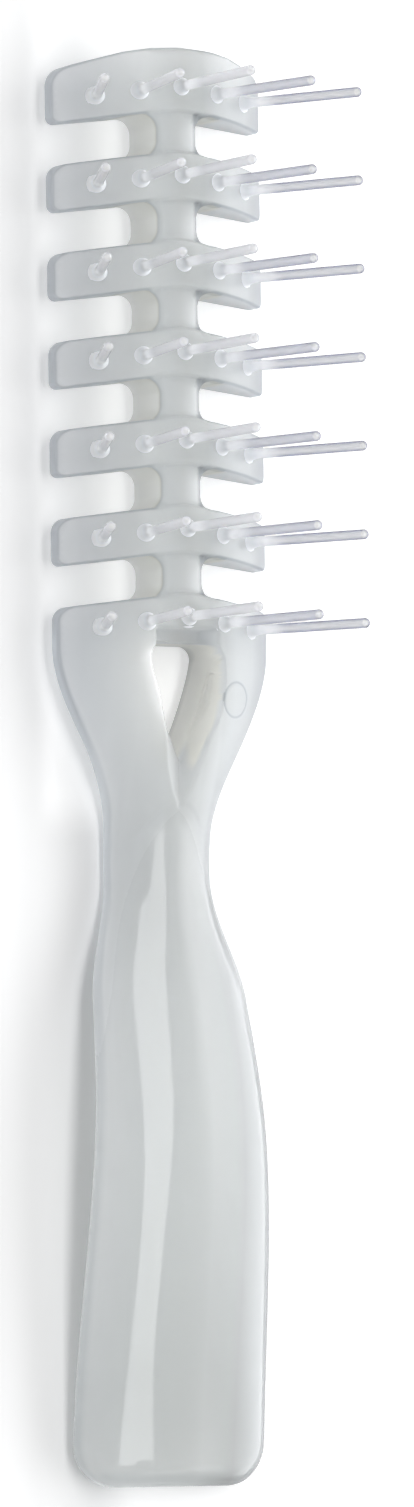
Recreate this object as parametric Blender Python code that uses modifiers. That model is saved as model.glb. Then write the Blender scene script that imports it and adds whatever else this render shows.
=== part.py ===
"""A skeleton hair brush at real size, in metres, lying on its back with the pins up.

The head is a D-shaped bar, flat behind and domed in front, vented by six slots a side.
The slots leave six ribs and a fork on one spine, and each of them stands five pins up.
The fork closes round a vent, narrows to the neck and swells again into the handle.
Stations along the brush are measured from the tip of the head, down towards the handle.
"""
import math

import bpy
import bmesh
from mathutils import Vector

MM = 0.001

# Rows of pins
ROWS = 7
ROW_PITCH = 14.0 * MM
TIP_TO_FIRST_ROW = 6.3 * MM
PINS_PER_ROW = 5
PIN_SEAT_STEP = math.radians(16.0)
PIN_LEAN_STEP = math.radians(12.8)
PIN_LENGTH = 22.6 * MM
PIN_DIAMETER = 1.6 * MM
PIN_ROOT_DIAMETER = 3.4 * MM
PIN_ROOT_HEIGHT = 3.2 * MM
PIN_FOOT = 1.2 * MM
PIN_SIDES = 10

# Head section, shared by the ribs and the fork
HEAD_WIDTH = 37.8 * MM
HEAD_EDGE = 2.4 * MM
CROWN_RADIUS = 25.1 * MM
HEAD_CORNER = 0.5 * MM

# Ribs
RIB_WIDTH = 7.5 * MM
RIB_SWEEP = math.radians(7.0)
RIB_APEX_RADIUS = 12.0 * MM
RIB_TOP_CORNER = 2.4 * MM
RIB_BOTTOM_CORNER = 1.2 * MM
SLOT_CORNER = 2.4 * MM
TIP_RADIUS = 45.0 * MM
TIP_SLOPE = math.radians(18.0)
TIP_CORNER = 3.2 * MM

# Spine
SPINE_WIDTH = 7.4 * MM
SPINE_DROP = 1.4 * MM
SPINE_CORNER = 1.2 * MM
TIP_WALL = 2.8 * MM

# Fork, from the last row of pins to the neck
SHOULDER_LENGTH = 4.6 * MM
FORK_LENGTH = 33.8 * MM
FORK_EDGE = 3.2 * MM
VENT_TO_ROW = 4.0 * MM
VENT_LENGTH = 18.4 * MM
VENT_WIDTH = 12.8 * MM
VENT_WAIST_AT = 8.8 * MM
VENT_WAIST_FRONT = 12.0 * MM
VENT_WAIST_BACK = 8.6 * MM
VENT_WAIST_RADIUS = 4.6 * MM
VENT_CORNER = 2.0 * MM
VENT_APEX_RADIUS = 1.0 * MM
POCKET_LENGTH = 3.4 * MM
POCKET_DEPTH = 3.6 * MM

# Neck and handle
NECK_LENGTH = 7.0 * MM
NECK_WIDTH = 18.6 * MM
NECK_EDGE = 3.0 * MM
NECK_THICKNESS = 8.6 * MM
NECK_DIP = 2.0 * MM
FLARE_LENGTH = 19.0 * MM
GRIP_LENGTH = 77.0 * MM
GRIP_START_WIDTH = 26.8 * MM
GRIP_EDGE = 4.5 * MM
GRIP_THICKNESS = 9.6 * MM
GRIP_BOW = 2.8 * MM
BOW_FROM_FLARE = 22.0 * MM
HEEL_WIDTH = 33.6 * MM
HEEL_DIP = 2.7 * MM
HEEL_CORNER = 5.5 * MM
HEEL_ROUNDING = 3.2 * MM
HANDLE_CORNER = 2.2 * MM
HANDLE_BELLY = 0.7 * MM

# Fits and fineness
SEAM = 0.3 * MM
ARC_STEP = math.radians(14.0)
ARC_ERROR = 0.05 * MM
CROWN_STEPS = 22
CORNER_STEPS = 3
VENT_STEPS = 5
HEEL_STEPS = 6
PIN_TIP_STEPS = 3
SHARP_ANGLE = math.radians(50.0)
PIN_ROOT_STEPS = 4
STATION_STEP = 3.0 * MM
MERGE = 0.001 * MM
TRIM = 0.02 * MM
OVERRUN = 6.0 * MM

# Places that follow from the sizes above
HALF_WIDTH = HEAD_WIDTH / 2
CROWN_DEPTH = math.sqrt(CROWN_RADIUS ** 2 - HALF_WIDTH ** 2)
HEAD_THICKNESS = HEAD_EDGE + CROWN_RADIUS - CROWN_DEPTH
AXIS_BELOW_BACK = CROWN_DEPTH - HEAD_EDGE
LAST_ROW_AT = TIP_TO_FIRST_ROW + (ROWS - 1) * ROW_PITCH
SHOULDER_AT = LAST_ROW_AT + SHOULDER_LENGTH
NECK_AT = LAST_ROW_AT + FORK_LENGTH
FLARE_AT = NECK_AT + NECK_LENGTH
GRIP_AT = FLARE_AT + FLARE_LENGTH
BRUSH_LENGTH = GRIP_AT + GRIP_LENGTH
HEEL_AT = BRUSH_LENGTH - HEEL_CORNER
BOW_AT = GRIP_AT + BOW_FROM_FLARE
FORK_MIDDLE = (SHOULDER_AT + NECK_AT) / 2
VENT_AT = LAST_ROW_AT + VENT_TO_ROW
SPINE_HALF = SPINE_WIDTH / 2
SPINE_HEIGHT = HEAD_THICKNESS - SPINE_DROP

MILK = (0.80, 0.82, 0.82)
WARM_MILK = (0.74, 0.73, 0.69)
COOL_MILK = (0.80, 0.82, 0.88)

PARTS = "skeleton_brush"
CUTTERS = "cutters"


def clear_scene():
    for thing in list(bpy.data.objects):
        bpy.data.objects.remove(thing, do_unlink=True)
    for name in (PARTS, CUTTERS):
        collection = bpy.data.collections.new(name)
        bpy.context.scene.collection.children.link(collection)


def along(distance):
    """World Y of a station at this distance from the tip of the head."""
    return BRUSH_LENGTH / 2 - distance


def plastic(name, colour, roughness):
    material = bpy.data.materials.new(name)
    material.use_nodes = True
    shader = material.node_tree.nodes["Principled BSDF"]
    shader.inputs["Base Color"].default_value = (*colour, 1.0)
    shader.inputs["Roughness"].default_value = roughness
    shader.inputs["Metallic"].default_value = 0.0
    return material


def add_part(name, mesh, material):
    part = bpy.data.objects.new(name, mesh)
    part.data.materials.clear()
    part.data.materials.append(material)
    bpy.data.collections[PARTS].objects.link(part)
    return part


def add_cutter(name, mesh):
    cutter = bpy.data.objects.new(name, mesh)
    cutter.hide_render = True
    cutter.display_type = "WIRE"
    bpy.data.collections[CUTTERS].objects.link(cutter)
    return cutter


def boolean(part, tool, operation):
    modifier = part.modifiers.new(tool.name, "BOOLEAN")
    modifier.object = tool
    modifier.operation = operation
    modifier.solver = "EXACT"


def fillet_points(before, corner, after, radius, steps):
    """Points of the arc that rounds a corner, limited by the shorter of its two sides."""
    to_before = before - corner
    to_after = after - corner
    half = to_before.angle(to_after) / 2
    reach = min(radius / math.tan(half), to_before.length, to_after.length)
    radius = reach * math.tan(half)
    centre = corner + (to_before.normalized() + to_after.normalized()).normalized() * radius / math.sin(half)
    start = corner + to_before.normalized() * reach - centre
    turn = math.pi - 2 * half
    if start.cross(corner - centre) < 0:
        turn = -turn
    if steps is None:
        step = min(ARC_STEP, 2 * math.acos(1 - ARC_ERROR / radius))
        steps = 2 * math.ceil(abs(turn) / step / 2)
    angle = math.atan2(start.y, start.x)
    points = []
    for step in range(steps + 1):
        place = angle + turn * step / steps
        points.append(centre + Vector((math.cos(place), math.sin(place))) * radius)
    return points


def rounded(corners, steps=None):
    """A closed outline from corners (x, y, radius), in which a radius of 0 stays sharp."""
    points = []
    for index, (x, y, radius) in enumerate(corners):
        corner = Vector((x, y))
        if radius == 0:
            points.append(corner)
            continue
        before = Vector(corners[index - 1][:2])
        after = Vector(corners[(index + 1) % len(corners)][:2])
        points += fillet_points(before, corner, after, radius, steps)
    return points


def outline_plate(outline, low, high):
    """Mesh of a flat outline in X and Y, closed from height low to height high."""
    curve = bpy.data.curves.new("outline", "CURVE")
    curve.dimensions = "2D"
    curve.fill_mode = "BOTH"
    curve.extrude = (high - low) / 2
    spline = curve.splines.new("POLY")
    spline.points.add(len(outline) - 1)
    for point, place in zip(spline.points, outline):
        point.co = (place.x, place.y, 0.0, 1.0)
    spline.use_cyclic_u = True
    sketch = bpy.data.objects.new("sketch", curve)
    bpy.context.scene.collection.objects.link(sketch)
    bpy.context.view_layer.update()
    mesh = bpy.data.meshes.new_from_object(sketch.evaluated_get(bpy.context.evaluated_depsgraph_get()))
    bpy.data.objects.remove(sketch, do_unlink=True)
    solid = bmesh.new()
    solid.from_mesh(mesh)
    bmesh.ops.remove_doubles(solid, verts=solid.verts, dist=MERGE)
    bmesh.ops.translate(solid, verts=solid.verts, vec=(0.0, 0.0, (low + high) / 2))
    bmesh.ops.recalc_face_normals(solid, faces=solid.faces)
    solid.to_mesh(mesh)
    solid.free()
    return mesh


def loft(rings):
    """Mesh through rings of equally many points, closed by a face at each end."""
    solid = bmesh.new()
    loops = []
    for ring in rings:
        loops.append([solid.verts.new(place) for place in ring])
    for near, far in zip(loops, loops[1:]):
        for index in range(len(near)):
            following = (index + 1) % len(near)
            solid.faces.new((near[index], near[following], far[following], far[index]))
    solid.faces.new(list(reversed(loops[0])))
    solid.faces.new(loops[-1])
    bmesh.ops.recalc_face_normals(solid, faces=solid.faces)
    mesh = bpy.data.meshes.new("loft")
    solid.to_mesh(mesh)
    solid.free()
    return mesh


def smooth(part):
    """Takes the modifiers into the mesh, joins its doubled corners and shades its rounds."""
    bpy.context.view_layer.update()
    mesh = bpy.data.meshes.new_from_object(part.evaluated_get(bpy.context.evaluated_depsgraph_get()))
    solid = bmesh.new()
    solid.from_mesh(mesh)
    bmesh.ops.remove_doubles(solid, verts=solid.verts, dist=MERGE)
    solid.to_mesh(mesh)
    solid.free()
    part.modifiers.clear()
    part.data = mesh
    part.data.shade_smooth()
    part.data.set_sharp_from_angle(angle=SHARP_ANGLE)


def d_section(half_width, edge, thickness, corner, belly=0.0):
    """Outline of the D section in X and Z: nearly flat behind, upright edges, domed in front."""
    dome = thickness - edge - belly
    radius = (half_width ** 2 + dome ** 2) / (2 * dome)
    centre = thickness - radius
    spread = math.asin(half_width / radius)
    if dome > radius:
        spread = math.pi - spread
    corners = [(-half_width, belly, corner), (0.0, 0.0, 0.0), (half_width, belly, corner)]
    corners.append((half_width, belly + edge, min(corner, edge / 2)))
    for step in range(1, CROWN_STEPS):
        angle = spread * (1 - 2 * step / CROWN_STEPS)
        corners.append((radius * math.sin(angle), centre + radius * math.cos(angle), 0.0))
    corners.append((-half_width, belly + edge, min(corner, edge / 2)))
    return rounded(corners, CORNER_STEPS)


def section_ring(station, back, outline):
    return [Vector((place.x, along(station), BACK_HEIGHT + back + place.y)) for place in outline]


def chevron(station, x):
    """A line across the head swept back from this station at the spine towards the handle."""
    return station + abs(x) * math.tan(RIB_SWEEP)


def web_reach(angle):
    return SLOT_CORNER / math.tan(angle / 2)


def chevron_side(station, corner_radius, towards_tip):
    """Corners of one long edge of a rib for X above 0, from the spine out to the rib's end.

    Beside the spine the edge turns into the rounded inner end of the slot that it borders.
    """
    direction = -1 if towards_tip else 1
    angle = math.pi / 2 - direction * RIB_SWEEP
    beside_spine = chevron(station, SPINE_HALF)
    corners = [(0.0, station, RIB_APEX_RADIUS), (SPINE_HALF, beside_spine, 0.0)]
    corners.append((SPINE_HALF, beside_spine + direction * web_reach(angle), 0.0))
    corners.append((SPINE_HALF, beside_spine, SLOT_CORNER))
    corners.append((HALF_WIDTH + TRIM, chevron(station, HALF_WIDTH), corner_radius))
    return corners


def plan_outline(side):
    """Plan of a piece that is symmetric about the spine, from the corners of its +X side."""
    corners = [(x, along(station), radius) for x, station, radius in side]
    mirrored = [(-x, y, radius) for x, y, radius in reversed(corners) if x > 0]
    return rounded(corners + mirrored)


def head_form():
    """The whole D bar, longer than the head, which the plans of the ribs are cut from."""
    outline = d_section(HALF_WIDTH, HEAD_EDGE, HEAD_THICKNESS, HEAD_CORNER)
    ends = (-OVERRUN, NECK_AT)
    return add_cutter("head_form", loft([section_ring(end, 0.0, outline) for end in ends]))


def spine_bar(grow):
    """Mesh of the spine from inside the tip to the fork, grown all round by a clearance."""
    half = SPINE_HALF + grow
    top = SPINE_HEIGHT + grow
    foot = 0.0 if grow == 0 else -OVERRUN
    corners = [(-half, foot, 0.0), (half, foot, 0.0)]
    corners += [(half, top, SPINE_CORNER + grow), (-half, top, SPINE_CORNER + grow)]
    outline = rounded(corners)
    start = TIP_WALL - grow
    end = LAST_ROW_AT - RIB_WIDTH / 2 - SEAM + grow
    return loft([section_ring(station, 0.0, outline) for station in (start, end)])


def make_spine(material):
    spine = add_part("spine", spine_bar(0.0), material)
    smooth(spine)


def make_ribs(form, channel, material):
    for row in range(1, ROWS):
        seat = TIP_TO_FIRST_ROW + (row - 1) * ROW_PITCH
        if row == 1:
            apex = -TIP_RADIUS * (1 / math.cos(TIP_SLOPE) - 1)
            outer = apex + (HALF_WIDTH + TRIM) * math.tan(TIP_SLOPE)
            upper = [(0.0, apex, TIP_RADIUS), (HALF_WIDTH + TRIM, outer, TIP_CORNER)]
        else:
            upper = chevron_side(seat - RIB_WIDTH / 2, RIB_TOP_CORNER, True)
        lower = chevron_side(seat + RIB_WIDTH / 2, RIB_BOTTOM_CORNER, False)
        outline = plan_outline(upper + list(reversed(lower)))
        mesh = outline_plate(outline, BACK_HEIGHT - OVERRUN, BACK_HEIGHT + HEAD_THICKNESS + OVERRUN)
        rib = add_part(f"rib_{row}", mesh, material)
        boolean(rib, form, "INTERSECT")
        boolean(rib, channel, "DIFFERENCE")
        smooth(rib)


def monotone(table, station):
    """Smooth value at a station of a table of (station, value) that never overshoots it."""
    for index in range(len(table) - 1):
        if station <= table[index + 1][0]:
            break
    slopes = [(b[1] - a[1]) / (b[0] - a[0]) for a, b in zip(table, table[1:])]

    def tangent(place):
        if place == 0 or place == len(table) - 1:
            return 0.0
        left = slopes[place - 1]
        right = slopes[place]
        if left * right <= 0:
            return 0.0
        return 2 * left * right / (left + right)

    low, high = table[index], table[index + 1]
    span = high[0] - low[0]
    t = min(1.0, max(0.0, (station - low[0]) / span))
    rise = high[1] - low[1]
    a = tangent(index) * span - rise
    b = rise - tangent(index + 1) * span
    return low[1] + t * rise + t * (1 - t) * ((1 - t) * a + t * b)


WIDTHS = [(SHOULDER_AT, HEAD_WIDTH), (NECK_AT, NECK_WIDTH), (FLARE_AT, NECK_WIDTH),
          (GRIP_AT, GRIP_START_WIDTH), (BRUSH_LENGTH, HEEL_WIDTH)]
BACKS = [(SHOULDER_AT, 0.0), (FORK_MIDDLE, 0.0), (NECK_AT, -NECK_DIP), (FLARE_AT, -NECK_DIP),
         (BOW_AT, GRIP_BOW), (BRUSH_LENGTH, -HEEL_DIP)]
EDGES = [(SHOULDER_AT, HEAD_EDGE), (FORK_MIDDLE, FORK_EDGE), (FLARE_AT, NECK_EDGE),
         (GRIP_AT, GRIP_EDGE), (BRUSH_LENGTH, GRIP_EDGE)]
THICKNESSES = [(SHOULDER_AT, HEAD_THICKNESS), (NECK_AT, NECK_THICKNESS), (FLARE_AT, NECK_THICKNESS),
               (GRIP_AT, GRIP_THICKNESS), (BRUSH_LENGTH, GRIP_THICKNESS)]
CORNERS = [(SHOULDER_AT, HEAD_CORNER), (NECK_AT, HANDLE_CORNER), (BRUSH_LENGTH, HANDLE_CORNER)]
BELLIES = [(NECK_AT, 0.0), (GRIP_AT, HANDLE_BELLY), (BRUSH_LENGTH, HANDLE_BELLY)]


def quarter_inset(distance, radius):
    """How far a quarter round has drawn in at this distance from the end of the handle."""
    if distance >= radius:
        return 0.0
    return radius - math.sqrt(radius ** 2 - (radius - distance) ** 2)


def stations(start, end):
    count = math.ceil((end - start) / STATION_STEP)
    return [start + (end - start) * index / count for index in range(count + 1)]


def handle_stations():
    """Even steps down to the heel, then steps that follow the heel's corner round."""
    heel = []
    for step in range(1, HEEL_STEPS + 1):
        heel.append(HEEL_AT + HEEL_CORNER * math.sin(math.pi / 2 * step / HEEL_STEPS))
    return stations(NECK_AT + SEAM / 2, HEEL_AT) + heel


def back_line(station):
    """Height of the back over the head's own back, drawn in where the heel is rounded."""
    return monotone(BACKS, station) + quarter_inset(BRUSH_LENGTH - station, HEEL_ROUNDING)


# The heel is the lowest place of the brush, so the back of the head lies this much above the floor
BACK_HEIGHT = -min(back_line(station) for station in handle_stations())


def body_ring(station):
    """Section of the fork, neck or handle at a station, drawn in where the heel is rounded."""
    to_end = BRUSH_LENGTH - station
    half_width = monotone(WIDTHS, station) / 2 - quarter_inset(to_end, HEEL_CORNER)
    inset = quarter_inset(to_end, HEEL_ROUNDING)
    thickness = monotone(THICKNESSES, station)
    shrink = (thickness - 2 * inset) / thickness
    outline = d_section(half_width, monotone(EDGES, station) * shrink, thickness * shrink,
                        monotone(CORNERS, station) * shrink, monotone(BELLIES, station) * shrink)
    return section_ring(station, back_line(station), outline)


def vent_ring(waist, height):
    """Outline of the vent at a height: square shoulders, then a waist that runs to a point."""
    side = [(VENT_WIDTH / 2, VENT_AT, VENT_CORNER)]
    side.append((waist / 2, VENT_AT + VENT_WAIST_AT, VENT_WAIST_RADIUS))
    corners = side + [(0.0, VENT_AT + VENT_LENGTH, VENT_APEX_RADIUS)]
    corners += [(-x, station, radius) for x, station, radius in reversed(side)]
    outline = rounded(corners, VENT_STEPS)
    return [Vector((place.x, along(place.y), BACK_HEIGHT + height)) for place in outline]


def make_fork(material):
    top = LAST_ROW_AT - RIB_WIDTH / 2
    places = [top - OVERRUN] + stations(SHOULDER_AT, NECK_AT - SEAM / 2)
    fork = add_part("fork", loft([body_ring(place) for place in places]), material)

    side = chevron_side(top, RIB_TOP_CORNER, True)
    side += [(HALF_WIDTH + TRIM, SHOULDER_AT, 0.0), (HALF_WIDTH + OVERRUN, NECK_AT, 0.0)]
    low = BACK_HEIGHT - OVERRUN
    high = BACK_HEIGHT + HEAD_THICKNESS + OVERRUN
    boolean(fork, add_cutter("fork_plan", outline_plate(plan_outline(side), low, high)), "INTERSECT")

    vent = loft([vent_ring(VENT_WAIST_BACK, -OVERRUN), vent_ring(VENT_WAIST_BACK, 0.0),
                 vent_ring(VENT_WAIST_FRONT, HEAD_THICKNESS), vent_ring(VENT_WAIST_FRONT, high)])
    boolean(fork, add_cutter("vent", vent), "DIFFERENCE")

    pocket_side = [(SPINE_HALF, VENT_AT - POCKET_LENGTH, SPINE_CORNER)]
    pocket_side.append((SPINE_HALF, VENT_AT + VENT_CORNER, 0.0))
    floor = BACK_HEIGHT + HEAD_THICKNESS - POCKET_DEPTH
    pocket = outline_plate(plan_outline(pocket_side), floor, high)
    boolean(fork, add_cutter("pocket", pocket), "DIFFERENCE")
    smooth(fork)


def make_handle(material):
    handle = add_part("handle", loft([body_ring(place) for place in handle_stations()]), material)
    smooth(handle)


def pin_profile():
    """Half profile of a pin from its rounded tip down the shaft and the flared root."""
    radius = PIN_DIAMETER / 2
    points = []
    for step in range(PIN_TIP_STEPS + 1):
        angle = math.pi / 2 * step / PIN_TIP_STEPS
        points.append((radius * math.sin(angle), PIN_LENGTH - radius * (1 - math.cos(angle))))
    flare = PIN_ROOT_DIAMETER / 2 - radius
    for step in range(PIN_ROOT_STEPS + 1):
        t = step / PIN_ROOT_STEPS
        points.append((radius + flare * t * t, PIN_ROOT_HEIGHT * (1 - t)))
    points.append((PIN_ROOT_DIAMETER / 2, -PIN_FOOT))
    points.append((0.0, -PIN_FOOT))
    return points


def pin_mesh():
    profile = pin_profile()
    mesh = bpy.data.meshes.new("pin")
    edges = [(index, index + 1) for index in range(len(profile) - 1)]
    mesh.from_pydata([(x, 0.0, z) for x, z in profile], edges, [])
    return mesh


def make_pins(crown, material):
    """Every pin stands on its rib's centre line, its foot cut to the dome of the rib."""
    mesh = pin_mesh()
    middle = (PINS_PER_ROW - 1) / 2
    for row in range(1, ROWS + 1):
        for number in range(1, PINS_PER_ROW + 1):
            place = number - 1 - middle
            seat_angle = place * PIN_SEAT_STEP
            x = CROWN_RADIUS * math.sin(seat_angle)
            z = BACK_HEIGHT - AXIS_BELOW_BACK + CROWN_RADIUS * math.cos(seat_angle)
            station = chevron(TIP_TO_FIRST_ROW + (row - 1) * ROW_PITCH, x)
            pin = add_part(f"pin_{row}_{number}", mesh, material)
            pin.location = (x, along(station), z)
            pin.rotation_euler = (0.0, place * PIN_LEAN_STEP, 0.0)
            turn = pin.modifiers.new("turned", "SCREW")
            turn.axis = "Z"
            turn.steps = PIN_SIDES
            turn.render_steps = PIN_SIDES
            turn.use_merge_vertices = True
            turn.merge_threshold = MERGE
            boolean(pin, crown, "DIFFERENCE")
            smooth(pin)


def crown_cutter():
    """The dome of the head grown by the seam, which trims the feet of the pins."""
    radius = CROWN_RADIUS + SEAM
    count = CROWN_STEPS * 4
    outline = []
    for step in range(count):
        angle = 2 * math.pi * step / count
        outline.append(Vector((radius * math.sin(angle), radius * math.cos(angle) - AXIS_BELOW_BACK)))
    rings = [section_ring(end, 0.0, outline) for end in (-OVERRUN, NECK_AT)]
    return add_cutter("crown_cutter", loft(rings))


clear_scene()
body_plastic = plastic("milky_nylon", MILK, 0.28)
spine_plastic = plastic("milky_nylon_warm", WARM_MILK, 0.32)
pin_plastic = plastic("milky_nylon_cool", COOL_MILK, 0.2)

form_cutter = head_form()
channel_cutter = add_cutter("spine_channel", spine_bar(SEAM))
make_spine(spine_plastic)
make_ribs(form_cutter, channel_cutter, body_plastic)
make_fork(body_plastic)
make_handle(body_plastic)
make_pins(crown_cutter(), pin_plastic)
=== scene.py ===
"""A skeleton hair brush, moulded in one piece of milky plastic, lying on its back with the pins up."""
import math

import bpy
import bmesh
from mathutils import Matrix, Vector
from mathutils.geometry import delaunay_2d_cdt
from mathutils.kdtree import KDTree


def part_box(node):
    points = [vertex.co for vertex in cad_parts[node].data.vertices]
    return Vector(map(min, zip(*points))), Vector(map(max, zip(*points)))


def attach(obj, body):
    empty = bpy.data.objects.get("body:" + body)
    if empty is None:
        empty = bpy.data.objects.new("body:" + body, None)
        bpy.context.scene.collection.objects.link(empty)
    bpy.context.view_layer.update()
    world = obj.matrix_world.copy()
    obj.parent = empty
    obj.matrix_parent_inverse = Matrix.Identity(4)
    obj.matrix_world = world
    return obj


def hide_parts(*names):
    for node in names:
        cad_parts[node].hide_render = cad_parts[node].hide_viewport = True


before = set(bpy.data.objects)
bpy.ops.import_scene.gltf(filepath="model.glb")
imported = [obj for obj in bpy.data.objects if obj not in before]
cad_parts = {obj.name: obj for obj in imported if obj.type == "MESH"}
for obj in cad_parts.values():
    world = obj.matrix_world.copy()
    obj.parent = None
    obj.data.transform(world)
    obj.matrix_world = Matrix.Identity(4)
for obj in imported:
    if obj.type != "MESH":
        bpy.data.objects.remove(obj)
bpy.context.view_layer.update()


# Head
# Seven rows long, flat behind and domed in front, one body with the rest of the brush. Six bars
# a side in the mould leave the slots, with square walls, rounded inner ends and soft edges.
MM = 0.001
TIP_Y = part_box("rib_1")[1][1]
BACK_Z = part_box("spine")[0][2]
ROWS = 7
ROW_PITCH = 14.0 * MM
FIRST_ROW = 6.3 * MM
LAST_ROW = FIRST_ROW + (ROWS - 1) * ROW_PITCH
HEAD_HALF = 18.9 * MM
HEAD_EDGE = 2.4 * MM
HEAD_THICKNESS = 10.984 * MM
RIB_HALF = 3.75 * MM
RIB_SWEEP = math.tan(math.radians(7.0))
RIB_APEX = 0.7 * MM
TIP_SLOPE = math.radians(18.0)
TIP_RADIUS = 45.0 * MM
TIP_CORNER = 3.2 * MM
RIB_TOP_CORNER = 2.4 * MM
RIB_BOTTOM_CORNER = 1.2 * MM
SLOT_CORNER = 2.4 * MM
SPINE_HALF = 3.7 * MM
SPINE_DROP = 1.4 * MM
SPINE_STEP = 0.3 * MM
SHOULDER = LAST_ROW + 4.6 * MM
ARC_STEP = math.radians(9.0)
HEAD_SPACING = 0.6 * MM
TOUCH = 0.002 * MM


def station_to_y(station):
    """World Y of a place this far from the tip of the head, towards the handle."""
    return TIP_Y - station


def smooth_step(low, high, value):
    """Rises softly from 0 at low to 1 at high."""
    t = min(1.0, max(0.0, (value - low) / (high - low)))
    return t * t * (3 - 2 * t)


def swept(x):
    """How far the ribs are swept back at this distance from the middle of the spine."""
    return (math.sqrt(x * x + RIB_APEX * RIB_APEX) - RIB_APEX) * RIB_SWEEP


def round_corner(before, corner, after, radius, step=ARC_STEP):
    """Points of the arc that rounds one corner of an outline."""
    to_before = (before - corner).normalized()
    to_after = (after - corner).normalized()
    half = to_before.angle(to_after) / 2
    centre = corner + (to_before + to_after).normalized() * radius / math.sin(half)
    start = corner + to_before * radius / math.tan(half) - centre
    turn = math.pi - 2 * half
    if start.cross(corner - centre) < 0:
        turn = -turn
    count = 2 * math.ceil(abs(turn) / step / 2)
    first = math.atan2(start.y, start.x)
    angles = [first + turn * index / count for index in range(count + 1)]
    return [centre + Vector((math.cos(angle), math.sin(angle))) * radius for angle in angles]


def side_outline(corners, step=ARC_STEP):
    """Points down the +X side of an outline, from corners (x, station, radius of rounding)."""
    points = []
    for index, (x, station, radius) in enumerate(corners):
        corner = Vector((x, station))
        if radius == 0:
            points.append(corner)
            continue
        mirrored = [(-corners[1][0], corners[1][1])] + corners + [(-corners[-2][0], corners[-2][1])]
        before = Vector(mirrored[index][:2])
        after = Vector(mirrored[index + 2][:2])
        points += round_corner(before, corner, after, radius, step)
    return [point for point in points if point.x > -TOUCH]


def rib_edge(row, towards_tip):
    """Corners of a rib's edge, at its outer end and beside the spine."""
    seat = FIRST_ROW + (row - 1) * ROW_PITCH
    station = seat - RIB_HALF if towards_tip else seat + RIB_HALF
    outer = RIB_TOP_CORNER if towards_tip else RIB_BOTTOM_CORNER
    at_spine = (SPINE_HALF, station + swept(SPINE_HALF), SLOT_CORNER)
    return [(HEAD_HALF, station + swept(HEAD_HALF), outer), at_spine]


tip_peak = -TIP_RADIUS * (1 / math.cos(TIP_SLOPE) - 1)
head_corners = [(0.0, tip_peak, TIP_RADIUS)]
head_corners.append((HEAD_HALF, tip_peak + HEAD_HALF * math.tan(TIP_SLOPE), TIP_CORNER))
for row in range(1, ROWS):
    head_corners += rib_edge(row, False)
    head_corners += reversed(rib_edge(row + 1, True))
head_corners.append((HEAD_HALF, SHOULDER, 0.0))
head_side = side_outline(head_corners)


# Fork, neck and handle
# Below the last row the body draws in to a slim neck and swells to the handle, all one smooth
# run. The handle is bowed towards the pins, dips where it leaves the neck, and is well rounded.
NECK = LAST_ROW + 33.8 * MM
FLARE = NECK + 7.0 * MM
GRIP = FLARE + 19.0 * MM
BOW = GRIP + 22.0 * MM
LENGTH = GRIP + 77.0 * MM
HEEL_CORNER = 7.0 * MM
HEEL_HALF = 16.8 * MM
FORK_MIDDLE = (SHOULDER + NECK) / 2
WIDTHS = [(SHOULDER, 37.8 * MM), (NECK, 18.6 * MM), (FLARE, 18.6 * MM), (GRIP, 26.8 * MM),
          (LENGTH, 33.6 * MM)]
BACKS = [(SHOULDER, 0.0), (FORK_MIDDLE, 0.0), (NECK, -2.0 * MM), (FLARE, -2.0 * MM), (BOW, 2.8 * MM),
         (LENGTH, -2.7 * MM)]
EDGES = [(SHOULDER, HEAD_EDGE), (FORK_MIDDLE, 3.2 * MM), (FLARE, 3.0 * MM), (GRIP, 4.5 * MM),
         (LENGTH, 4.5 * MM)]
THICKNESSES = [(SHOULDER, HEAD_THICKNESS), (NECK, 8.6 * MM), (FLARE, 8.6 * MM), (GRIP, 9.6 * MM),
               (LENGTH, 9.6 * MM)]
BELLIES = [(NECK, 0.0), (GRIP, 0.7 * MM), (LENGTH, 0.7 * MM)]
FLANKS = [(NECK - 6.0 * MM, 0.0), (NECK + 2.0 * MM, 0.1), (136.0 * MM, 0.62), (GRIP, 0.5), (168.0 * MM, 0.25),
          (180.0 * MM, 0.0), (192.0 * MM, -0.2), (205.0 * MM, -0.2), (214.0 * MM, 0.0), (LENGTH, 0.2)]
FLANK_SLOPE = math.tan(math.radians(15.0))
FLANK_END = 0.6
CREST = 0.12
DIP = 1.4 * MM
DIP_END = 129.5 * MM
DIP_FADE = 178.0 * MM
HEEL_DROP = 0.6 * MM
HEEL_FALL = 9.0 * MM
HANDLE_SPACING = 0.9 * MM


def flowing(table, station):
    """Smooth value at a station of a table of (station, value), level at both ends of it."""
    slopes = [(b[1] - a[1]) / (b[0] - a[0]) for a, b in zip(table, table[1:])]
    index = 0
    while index < len(table) - 2 and station > table[index + 1][0]:
        index += 1

    def tangent(place):
        if place == 0 or place == len(table) - 1 or slopes[place - 1] * slopes[place] <= 0:
            return 0.0
        return 2 * slopes[place - 1] * slopes[place] / (slopes[place - 1] + slopes[place])

    low, high = table[index], table[index + 1]
    span = high[0] - low[0]
    t = min(1.0, max(0.0, (station - low[0]) / span))
    rise = high[1] - low[1]
    near = tangent(index) * span - rise
    far = rise - tangent(index + 1) * span
    return low[1] + t * rise + t * (1 - t) * ((1 - t) * near + t * far)


handle_side = []
station = SHOULDER + HANDLE_SPACING
while station < LENGTH - HEEL_CORNER - HANDLE_SPACING:
    handle_side.append(Vector((flowing(WIDTHS, station) / 2, station)))
    station += HANDLE_SPACING
heel_corner = Vector((HEEL_HALF, LENGTH))
handle_side += round_corner(handle_side[-1], heel_corner, Vector((0.0, LENGTH)), HEEL_CORNER)
handle_side.append(Vector((0.0, LENGTH)))


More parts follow.
